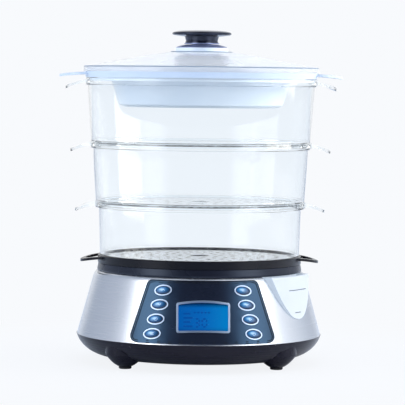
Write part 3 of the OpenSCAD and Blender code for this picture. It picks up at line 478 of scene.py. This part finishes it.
def closed(made):
    """Leaves edit mode with the faces pointing outwards."""
    bpy.ops.mesh.select_all(action="SELECT")
    bpy.ops.mesh.normals_make_consistent(inside=False)
    bpy.ops.object.mode_set(mode="OBJECT")
    return made


def joined(parts):
    """Joins loose pieces into the first."""
    bpy.ops.object.select_all(action="DESELECT")
    for one in parts:
        one.select_set(True)
    bpy.context.view_layer.objects.active = parts[0]
    bpy.ops.object.join()
    return bpy.context.object


def copied(made):
    """A copy of a piece, with a mesh of its own."""
    twin = made.copy()
    twin.data = made.data.copy()
    bpy.context.scene.collection.objects.link(twin)
    return twin


# ------------------------------------------------------------------ buttons
LENS_HALF_W, LENS_HALF_H, LENS_RISE = 8.1, 4.5, 1.5
LENS_SINK = 0.1  # how far a lens starts under the face of its cap
# painted highlight: where the pale patch on each lens sits and how far it reaches
HIGHLIGHT_LEFT, HIGHLIGHT_UP, HIGHLIGHT_REACH = 0.22, 0.14, 1.1  # in shares of the lens
ICON_LOW, ICON_HIGH = 0.7, 1.62


def button_place(index):
    """Middle of a button on the panel, in mm: 0 to 3 on the left from the top, then the right."""
    row, side = index % 4, -1 if index < 4 else 1
    return side * (BUTTON_AT + row * BUTTON_STEP), BUTTON_MID + (1.5 - row) * BUTTON_PITCH


def lens_dome():
    """Oval dome that fills a button's cap, with the share of its painted highlight as an attribute."""
    size = (LENS_HALF_W * MM, LENS_HALF_H * MM, LENS_RISE * MM)
    made = fresh(bpy.ops.mesh.primitive_uv_sphere_add, segments=40, ring_count=20, radius=1.0)
    bpy.ops.mesh.bisect(plane_co=(0, 0, 0), plane_no=(0, 0, 1), clear_inner=True, use_fill=True)
    bpy.ops.mesh.select_all(action="SELECT")
    bpy.ops.transform.resize(value=size, center_override=(0, 0, 0))
    closed(made)
    glow = made.data.attributes.new("glow", "FLOAT", "POINT")
    for point, vertex in zip(glow.data, made.data.vertices):
        aside, over = vertex.co.x / size[0] + HIGHLIGHT_LEFT, vertex.co.y / size[1] - HIGHLIGHT_UP
        point.value = max(0.0, 1.0 - math.hypot(aside, over) / HIGHLIGHT_REACH)
    bpy.ops.object.shade_smooth()
    return made


def plate(outline, low, high):
    """Flat-topped prism over a convex outline in mm, with a small bevel round its top."""
    count = len(outline)
    made = fresh(bpy.ops.mesh.primitive_circle_add, vertices=count, radius=1.0, fill_type="NGON")
    bpy.ops.object.mode_set(mode="OBJECT")
    for vertex, (x, y) in zip(made.data.vertices, outline):
        vertex.co = (x * MM, y * MM, low * MM)
    bpy.ops.object.mode_set(mode="EDIT")
    bpy.ops.mesh.select_all(action="SELECT")
    bpy.ops.mesh.extrude_region_move(TRANSFORM_OT_translate={"value": (0, 0, (high - low) * MM)})
    bpy.ops.mesh.inset(thickness=0.06 * MM, depth=0.03 * MM)
    return closed(made)


def bar(x0, y0, x1, y1, width, low, high):
    """Plate along a line, with pointed ends as in a segment display."""
    along = Vector((x1 - x0, y1 - y0))
    length = along.length
    along /= length
    side = Vector((-along.y, along.x))
    half, tip = width / 2, min(width / 2, length / 3)
    spots = [(0, 0), (tip, -half), (length - tip, -half), (length, 0), (length - tip, half), (tip, half)]
    return plate([tuple(Vector((x0, y0)) + along * a + side * b) for a, b in spots], low, high)


def arc(radius, start, end, width, steps):
    """Strokes of a sign along a part of a circle, angles in degrees."""
    turns = [math.radians(start + (end - start) * k / steps) for k in range(steps + 1)]
    spots = [(radius * math.cos(turn), radius * math.sin(turn)) for turn in turns]
    return [(*p, *q, width) for p, q in zip(spots, spots[1:])]


# strokes of the generic signs, both ends and the width: four on the left from the top, then the right
SIGNS = {
    "up": [(-1.8, -0.9, 0, 1.1, 0.6), (0, 1.1, 1.8, -0.9, 0.6)],
    "down": [(-1.8, 0.9, 0, -1.1, 0.6), (0, -1.1, 1.8, 0.9, 0.6)],
    "clock": arc(1.9, 0, 360, 0.45, 16) + [(0, 0, 0, 1.3, 0.4), (0, 0, 0.9, 0, 0.4)],
    "list": [(-2.0, 0.8, 2.0, 0.8, 0.5), (-2.0, -0.2, 1.2, -0.2, 0.5), (-2.0, -1.2, 2.0, -1.2, 0.5)],
    "pause": [(-0.8, -1.5, -0.8, 1.5, 0.6), (0.8, -1.5, 0.8, 1.5, 0.6)],
    "dashes": [(-2.2, 0.3, 2.2, 0.3, 0.6), (-1.1, -0.9, 1.1, -0.9, 0.5)],
    "start": [(-1.2, -1.4, 1.7, 0, 0.5), (1.7, 0, -1.2, 1.4, 0.5), (-1.2, 1.4, -1.2, -1.4, 0.5)],
    "power": arc(1.8, 120, 420, 0.5, 14) + [(0, 0.2, 0, 2.2, 0.5)],
}

dome = lens_dome()
for index, strokes in enumerate(SIGNS.values()):
    body = f"button_{index + 1}"
    spot = (*button_place(index), PANEL_PROUD + CAP_PROUD - LENS_SINK)
    lens = wrapped(copied(dome), *spot)
    settle(lens, f"button_lens_{index + 1}", FINISH["button_lens"], body)
    sign = wrapped(joined([bar(*stroke, ICON_LOW, ICON_HIGH) for stroke in strokes]), *spot)
    settle(sign, f"button_icon_{index + 1}", FINISH["icon_paint"], body)
bpy.data.meshes.remove(dome.data)  # takes the pattern's object with it

# ------------------------------------------------------------------ border lines of the fascia
CORNER_STEPS, SIDE_STEPS = 8, 12


def panel_outline(inset):
    """The fascia's outline seen from the front, x and z in mm, some way inside its edge."""
    slope = (PANEL_LOW_W - PANEL_HIGH_W) / PANEL_H
    side = inset * math.hypot(1, slope)
    high, low = SKIRT_H + PANEL_LIFT + PANEL_H - inset, SKIRT_H + PANEL_LIFT + inset
    wide, narrow = PANEL_LOW_W - inset * slope - side, PANEL_HIGH_W + inset * slope - side
    corners = [Vector(c) for c in ((-wide, low), (wide, low), (narrow, high), (-narrow, high))]
    round_r = PANEL_CORNER - inset
    spots = []
    for k, corner in enumerate(corners):
        following = corners[(k + 1) % 4]
        before = (corners[k - 1] - corner).normalized()
        after = (following - corner).normalized()
        half = math.acos(before.dot(after)) / 2
        cut = round_r / math.tan(half)
        middle = corner + (before + after).normalized() * round_r / math.sin(half)
        first = corner + before * cut - middle
        last = corner + after * cut - middle
        for step in range(CORNER_STEPS + 1):
            spots.append(middle + first.lerp(last, step / CORNER_STEPS).normalized() * round_r)
        for step in range(1, SIDE_STEPS):
            spots.append((middle + last).lerp(following - after * cut, step / SIDE_STEPS))
    return spots


def hoop(name, loops, finish, body):
    """Closed hoop from its cross-sections in mm, all with the same number of points: a torus with
    as many sections, whose points are moved there."""
    made = fresh(
        bpy.ops.mesh.primitive_torus_add, major_segments=len(loops), minor_segments=len(loops[0]),
        major_radius=1.0, minor_radius=0.1,
    )
    bpy.ops.object.mode_set(mode="OBJECT")
    for vertex, spot in zip(made.data.vertices, (spot for loop in loops for spot in loop)):
        vertex.co = Vector(spot) * MM
    bpy.ops.object.mode_set(mode="EDIT")
    return settle(closed(made), name, finish, body)


def border(name, inset, width, high=0.06, low=-0.1):
    """Dark ribbon on the fascia's curved face, some way inside its outline, in mm."""
    loops = []
    for edge, back in zip(panel_outline(inset), panel_outline(inset + width)):
        loop = []
        for spot, off in ((edge, high), (edge, low), (back, low), (back, high)):
            reach = shell_radius(spot.y, PANEL_PROUD + off)
            loop.append((spot.x, -math.sqrt(reach * reach - spot.x * spot.x), spot.y))
        loops.append(loop)
    hoop(name, loops, FINISH["dark_border_line"], "base")


# painted shade: the dark line along the edge stands for the fascia's rounded edge, which looks dark
border("fascia_edge_shade_line", inset=0.15, width=1.0)
border("fascia_inner_line", inset=2.2, width=1.0)

# ------------------------------------------------------------------ display segments
SEGMENTS = {  # ends of the seven bars of a digit, in widths and half heights
    "a": (0, 2, 1, 2), "b": (1, 2, 1, 1), "c": (1, 1, 1, 0), "d": (0, 0, 1, 0),
    "e": (0, 1, 0, 0), "f": (0, 2, 0, 1), "g": (0, 1, 1, 1),
}
DIGITS = {"3": "abcdg", "0": "abcdef"}
DIGIT_W, DIGIT_HALF_H, DIGIT_FOOT, DIGIT_BAR = 5.0, 4.6, -9.0, 2.0
MARK_BAR = 2.2
INK = 0.05  # height of a segment


def digit(sign, x):
    """Seven-segment digit with its lower left corner at x on the display's line."""
    gap = DIGIT_BAR * 0.3
    made = []
    for key in DIGITS[sign]:
        x0, y0, x1, y1 = SEGMENTS[key]
        ends = [
            Vector((x + across * DIGIT_W, DIGIT_FOOT + up * DIGIT_HALF_H))
            for across, up in ((x0, y0), (x1, y1))
        ]
        run = (ends[1] - ends[0]).normalized() * gap
        made.append(bar(*(ends[0] + run), *(ends[1] - run), DIGIT_BAR, 0, INK))
    return made


def display_marks():
    """The digits, a row of five bars over them and a column of four at the left."""
    marks = digit("3", -9.2) + digit("0", -0.8)
    marks += [bar(-11 + 4.1 * k, 7.6, -7.8 + 4.1 * k, 7.6, MARK_BAR, 0, INK) for k in range(5)]
    for k in range(4):
        y = 6.2 - 4.9 * k
        marks.append(bar(-23, y, -14 + (k % 2) * 2.5, y, MARK_BAR, 0, INK))
    made = joined(marks)
    panel_frame = Matrix((Vector((1, 0, 0)), PANEL_UP, PANEL_OUT)).transposed().to_4x4()
    panel_frame.translation = on_panel(0, LCD_Y, -LCD_DEPTH) * MM
    made.data.transform(panel_frame)
    return made


settle(display_marks(), "lcd_segments", FINISH["segment_ink"], "base")


# ------------------------------------------------------------------ rings and fine lines of the lid
def turned(profile, count):
    """Cross-sections of a ring about the steamer's axis from one of them, radius and height in mm."""
    turns = [math.tau * k / count for k in range(count)]
    return [[(r * math.cos(turn), r * math.sin(turn), z) for r, z in profile] for turn in turns]


def on_cap(radius, off):
    """Height of the domed cap of the lid's hub at a radius, or of its skin some way out, in mm."""
    fall = max(0.0, 1 - (radius / (HUB_CAP_R + off)) ** 2)
    return HUB_CAP_Z + (HUB_CAP_H + off) * math.sqrt(fall)


def shoulder_shade_ring(name, inner, outer, lift, thick, steps=10):
    """Thin blued plate under the knob that follows the hub's cap between two radii, in mm: painted
    shade, a darker ring that stands for the shade on the hub's rounded shoulder.
    """
    radii = [inner + (outer - inner) * k / steps for k in range(steps + 1)]
    profile = [(r, on_cap(r, lift + thick)) for r in radii]
    profile += [(r, on_cap(r, lift)) for r in reversed(radii)]
    made = hoop(name, turned(profile, 96), FINISH["washer_metal"], "lid")
    made.select_set(True)
    bpy.context.view_layer.objects.active = made
    bpy.ops.object.shade_smooth_by_angle(angle=math.radians(35))
    made.select_set(False)
    made.visible_shadow = False  # the clear hub under it stays as light as its rim


# painted shade: a slate-blue ring where the hub's rounded shoulder only looks darker
shoulder_shade_ring("knob_shoulder_shade_ring", inner=19.5, outer=30.6, lift=0.03, thick=0.4)

# painted shade: a fine grey line along the clear lid's edge and another round the foot of its hub stand
# in for the shade there, and the hub has a white skin with a faint painted glow
EDGE_SHADE_LINE = [
    (LID_R - 0.35, EDGE_TOP - 0.45), (LID_R - 0.9, EDGE_TOP + 0.35), (LID_R - 2.0, EDGE_TOP + 0.6),
    (LID_R - 2.0, EDGE_TOP + 0.8), (LID_R - 0.9, EDGE_TOP + 0.62), (LID_R - 0.25, EDGE_TOP - 0.35),
]
FOOT_SHADE_LINE = [
    (HUB_CAP_R + 3.9, DOME_TOP + 0.02), (HUB_CAP_R + 5.9, DOME_TOP + 0.02),
    (HUB_CAP_R + 5.6, DOME_TOP + 1.0), (HUB_CAP_R + 4.2, DOME_TOP + 1.0),
]
HUB_SKIN = [
    (HUB_CAP_R + 0.06, DOME_TOP + 0.3), (HUB_CAP_R + 0.4, DOME_TOP + 0.5),
    (HUB_CAP_R + 0.4, HUB_TOP - 0.8), (HUB_CAP_R + 0.06, HUB_TOP - 0.6),
]
for name, profile, finish in (
    ("lid_edge_line", EDGE_SHADE_LINE, "painted_shade_line"),
    ("lid_foot_line", FOOT_SHADE_LINE, "painted_shade_line"),
    ("lid_hub_skin", HUB_SKIN, "hub_white"),
):
    hoop(name, turned(profile, 160), FINISH[finish], "lid").visible_shadow = False

# ------------------------------------------------------------------ level lines on the inlet
LEVEL_HALF_H, LEVEL_HALF_T = 0.45, 0.15
LEVEL_STEP = 1.2  # degrees between two sections of a line


def level_line(name, z, start, end):
    """Painted line that follows the inlet's face at a height between two angles in degrees."""
    lean = (INLET_FOOT_R - INLET_MOUTH_R) / INLET_LEAN_H
    radius = INLET_MOUTH_R + (INLET_TOP + 3 - z) * lean
    first = math.radians(start - 90)
    made = fresh(bpy.ops.mesh.primitive_plane_add, size=1.0)
    bpy.ops.mesh.delete(type="ONLY_FACE")
    bpy.ops.object.mode_set(mode="OBJECT")
    corners = [
        (side, level)
        for level in (-LEVEL_HALF_H, LEVEL_HALF_H)
        for side in (-LEVEL_HALF_T, LEVEL_HALF_T)
    ]
    for vertex, (side, level) in zip(made.data.vertices, corners):
        reach = (radius + side - level * lean) * MM
        vertex.co = (reach * math.cos(first), reach * math.sin(first), (z + level) * MM)
    bpy.ops.object.mode_set(mode="EDIT")
    bpy.ops.mesh.select_all(action="SELECT")
    bpy.ops.mesh.edge_face_add()
    bpy.ops.mesh.select_all(action="SELECT")
    bpy.ops.mesh.spin(
        steps=max(3, int((end - start) / LEVEL_STEP)),
        angle=-math.radians(end - start),
        center=(0, 0, 0),
        axis=(0, 0, 1),
    )
    bpy.ops.mesh.select_all(action="SELECT")
    bpy.ops.mesh.remove_doubles(threshold=0.01 * MM)
    settle(closed(made), name, FINISH["level_paint"], "base")


level_line("inlet_line_high", 93.3, 48.4, 65.2)
level_line("inlet_line_low", 67.3, 52.0, 57.0)

# ------------------------------------------------------------------ studio
BACKDROP = "#f8fafd"
# what shiny surfaces mirror, by the angle from the front: a dark front and tail, pale sides
MIRRORED = [
    (-180, "#ffffff"), (-152, "#f8fbff"), (-143, "#a8b2c3"), (-112, "#b4bdcd"), (-76, "#b0b9ca"),
    (-71, "#f2f6fe"), (-36, "#b8c4d6"), (-22, "#3a4254"), (0, "#2c3242"), (24, "#3c4456"),
    (36, "#b8c4d6"), (74, "#f4f8ff"), (98, "#ecf2fb"), (114, "#d8e0ec"), (141, "#b6becd"),
    (153, "#f8fbff"),
]


def seen_straight(tree):
    """The light path, and 1 where the camera looks straight or through something clear, or 0."""
    path = add(tree, "ShaderNodeLightPath")
    seen = add(
        tree,
        "ShaderNodeMath",
        {0: (path, "Is Camera Ray"), 1: (path, "Is Transmission Ray")},
        operation="MAXIMUM",
    )
    return path, seen


def floor_finish():
    """Pale seamless floor: it keeps the object's soft shadow and fades into the backdrop."""
    made, tree = blank("pale_studio_floor")
    place = add(tree, "ShaderNodeTexCoord")
    far = add(tree, "ShaderNodeVectorMath", {0: (place, "Object")}, operation="LENGTH")
    fade = add(
        tree,
        "ShaderNodeMapRange",
        {"Value": (far, "Value"), "From Min": 0.15, "From Max": 0.5, "To Min": 0.91, "To Max": 1.0},
    )
    _, seen = seen_straight(tree)
    share = add(tree, "ShaderNodeMath", {0: (seen, 0), 1: (fade, 0)}, operation="MULTIPLY")
    matt = add(
        tree, "ShaderNodeBsdfPrincipled", {"Base Color": tone("#e6ebf3"), "Roughness": 0.7}
    )
    glow = add(tree, "ShaderNodeEmission", {"Color": tone(BACKDROP), "Strength": 1.0})
    mix = add(tree, "ShaderNodeMixShader", {0: (share, 0), 1: (matt, 0), 2: (glow, 0)})
    surface(tree, mix)
    return made


def studio_world():
    """Even pale light, a plain backdrop, and bands of their own for what mirrors them."""
    world = bpy.data.worlds.new("studio")
    bpy.context.scene.world = world
    world.use_nodes = True
    sky = world.node_tree
    sky.nodes.clear()
    place = add(sky, "ShaderNodeTexCoord")
    split = add(sky, "ShaderNodeSeparateXYZ", {"Vector": (place, "Generated")})
    flip = add(sky, "ShaderNodeMath", {0: (split, "Y"), 1: -1.0}, operation="MULTIPLY")
    bearing = add(sky, "ShaderNodeMath", {0: (split, "X"), 1: (flip, 0)}, operation="ARCTAN2")
    turn = add(
        sky, "ShaderNodeMapRange", {"Value": (bearing, 0), "From Min": -math.pi, "From Max": math.pi}
    )
    stops = [((angle + 180) / 360, colour) for angle, colour in MIRRORED]
    bands = add(sky, "ShaderNodeValToRGB", {"Fac": (turn, "Result")}, stops)
    backdrop = add(sky, "ShaderNodeBackground", {"Color": tone(BACKDROP), "Strength": 1.0})
    ambient = add(sky, "ShaderNodeBackground", {"Color": tone("#cbdcf4"), "Strength": 0.95})
    mirrored = add(sky, "ShaderNodeBackground", {"Color": (bands, "Color"), "Strength": 1.05})
    path, seen = seen_straight(sky)
    shine = add(
        sky, "ShaderNodeMixShader", {0: (path, "Is Glossy Ray"), 1: (ambient, 0), 2: (mirrored, 0)}
    )
    air = add(sky, "ShaderNodeMixShader", {0: (seen, 0), 1: (shine, 0), 2: (backdrop, 0)})
    out = add(sky, "ShaderNodeOutputWorld")
    sky.links.new(air.outputs[0], out.inputs["Surface"])


def softbox(
    name, bearing, distance, height, size, watts, mirrored=True, lights=True, light="#ffffff"
):
    """Area lamp aimed at the object from a bearing, in degrees from the front; it can be left out
    of what shiny surfaces mirror, or do nothing else."""
    lamp = bpy.data.lights.new(name, "AREA")
    lamp.shape = "RECTANGLE"
    lamp.size, lamp.size_y = size
    lamp.energy = watts
    lamp.color = tone(light)[:3]
    made = bpy.data.objects.new(name, lamp)
    bpy.context.scene.collection.objects.link(made)
    side = math.radians(bearing)
    made.location = (distance * math.sin(side), -distance * math.cos(side), height)
    aim = Vector((0, 0, 0.2)) - made.location
    made.rotation_euler = aim.to_track_quat("-Z", "Y").to_euler()
    made.visible_glossy = mirrored
    made.visible_diffuse = lights
    return made


def feathered(made):
    """Lets a softbox fade out towards its two upright edges, so that no mirror image of it ends
    in a hard line."""
    made.data.use_nodes = True
    tree = made.data.node_tree
    glow = next(one for one in tree.nodes if one.bl_idname == "ShaderNodeEmission")
    spot = add(tree, "ShaderNodeNewGeometry")
    parts = add(tree, "ShaderNodeSeparateXYZ", {"Vector": (spot, "Parametric")})
    aside = add(tree, "ShaderNodeMath", {0: (parts, "X"), 1: 0.5}, operation="SUBTRACT")
    far = add(tree, "ShaderNodeMath", {0: (aside, 0)}, operation="ABSOLUTE")
    fade = add(
        tree,
        "ShaderNodeMapRange",
        {"Value": (far, 0), "From Min": 0.12, "From Max": 0.5, "To Min": 1.5, "To Max": 0.0},
        interpolation_type="SMOOTHSTEP",
    )
    tree.links.new(fade.outputs["Result"], glow.inputs["Strength"])


bpy.ops.mesh.primitive_plane_add(size=12.0, location=(0, 0, 0))
studio_floor = bpy.context.object
studio_floor.name = "studio_floor"
studio_floor.data.materials.append(floor_finish())
studio_world()
feathered(softbox("left_strip", -53, 2.0, 0.95, (1.5, 1.9), 19, lights=False))
feathered(softbox("right_strip", 54, 2.0, 0.95, (1.8, 1.9), 20, lights=False))
softbox("right_lamp", 88, 1.8, 0.8, (1.3, 1.4), 33, mirrored=False, light="#fff6ea")
softbox("left_lamp", -80, 1.8, 0.8, (1.2, 1.4), 13, mirrored=False)
softbox("top_lamp", 20, 0.3, 2.0, (1.4, 1.4), 13, mirrored=False)

# ------------------------------------------------------------------ camera
PHOTO_SIZE = 405  # both sides of the photograph, in pixels
FOCAL_LENGTH, SHIFT = 2400, 2.5  # in the photograph's pixels
CAMERA_AZIMUTH, CAMERA_ROLL = math.radians(-2.2), math.radians(0.65)
CAMERA_DISTANCE, CAMERA_HEIGHT, AIM_HEIGHT = 2.88, 0.338, 0.191

camera_data = bpy.data.cameras.new("camera")
camera_data.sensor_width = 36.0
camera_data.lens = FOCAL_LENGTH / PHOTO_SIZE * camera_data.sensor_width
camera_data.shift_x = SHIFT / PHOTO_SIZE
camera = bpy.data.objects.new("camera", camera_data)
bpy.context.scene.collection.objects.link(camera)
camera.location = (
    CAMERA_DISTANCE * math.sin(CAMERA_AZIMUTH),
    -CAMERA_DISTANCE * math.cos(CAMERA_AZIMUTH),
    CAMERA_HEIGHT,
)
aim = (Vector((0, 0, AIM_HEIGHT)) - camera.location).to_track_quat("-Z", "Y")
camera.rotation_euler = (aim.to_matrix() @ Matrix.Rotation(CAMERA_ROLL, 3, "Z")).to_euler()
bpy.context.scene.camera = camera
bpy.context.scene.view_settings.view_transform = "Standard"
